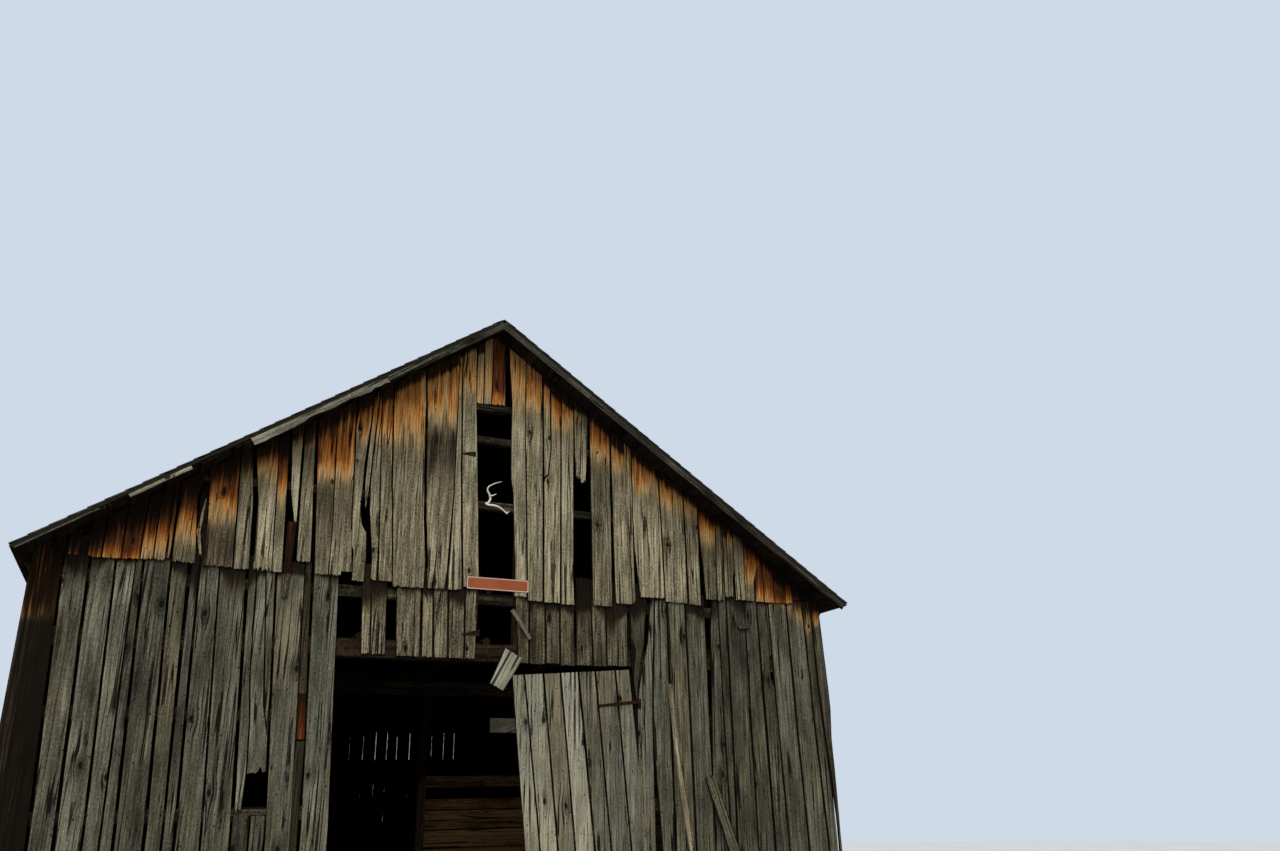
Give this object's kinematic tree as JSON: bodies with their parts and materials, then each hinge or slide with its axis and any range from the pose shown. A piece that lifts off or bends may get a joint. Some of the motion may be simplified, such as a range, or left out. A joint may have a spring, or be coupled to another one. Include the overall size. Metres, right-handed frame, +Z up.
{
  "type": "old timber barn",
  "caption": "Gable-fronted timber barn with weathered vertical boards, slotted gable, shingled roof and a sagging ledged door leaf on strap hinges.",
  "frame": {"origin": "on the ground in the middle of the plan", "axes": "+Z up, the front gable faces -Y, +X to the right when looking at the front"},
  "size_m": [7.574, 9.74, 6.0864],
  "materials": {
    "stone": "rough field stone",
    "frame_timber": "old hewn timber, dark brown",
    "sawn_timber": "old sawn timber, brown to grey",
    "pole_timber": "debarked pole",
    "shingle": "weathered split shingles",
    "weathered_board": "bare grey weathered boards",
    "stained_board": "weathered boards with orange-brown tops",
    "door_board": "pale grey weathered boards",
    "rusty_iron": "rusted wrought iron"
  },
  "bodies": {
    "barn": {"stone_footings": "stone", "side_sills": "frame_timber", "end_sills": "frame_timber", "side_posts": "frame_timber", "door_posts": "frame_timber", "back_posts": "frame_timber", "wall_plates": "frame_timber", "front_tie": "frame_timber", "inner_ties": "frame_timber", "back_tie": "frame_timber", "loft_ties": "frame_timber", "cross_braces": "frame_timber", "side_braces": "frame_timber", "side_girts": "sawn_timber", "front_girts": "sawn_timber", "back_girts": "sawn_timber", "gable_girts": "sawn_timber", "front_studs": "sawn_timber", "back_studs": "sawn_timber", "tier_poles": "pole_timber", "rafters_left": "frame_timber", "rafters_right": "frame_timber", "collar_ties": "sawn_timber", "laths_left": "sawn_timber", "laths_right": "sawn_timber", "shingles_left": "shingle", "shingles_right": "shingle", "rake_boards_left": "weathered_board", "rake_boards_right": "weathered_board", "front_wall_left": "weathered_board", "front_wall_right": "weathered_board", "front_wall_over_door": "weathered_board", "gable_boards_left": "stained_board", "gable_boards_middle": "stained_board", "gable_boards_right": "stained_board", "left_wall": "weathered_board", "right_wall": "weathered_board", "back_wall": "weathered_board", "back_gable": "stained_board", "door_pintles": "rusty_iron", "loft_hinges": "rusty_iron", "stall_partition": "sawn_timber", "hanging_boards": "door_board", "leaning_pole": "pole_timber", "leaning_board": "door_board"},
    "door_leaf": {"door_boards": "door_board", "door_ledges": "door_board", "door_straps": "rusty_iron"}
  },
  "joints": [
    {"name": "door_hinge", "type": "hinge", "parent": "barn", "child": "door_leaf", "pos_m": [1.50012, -4.5885, 2.512], "axis": [-0.075, 0, 0.9972], "range_deg": [0, 110]}
  ]
}
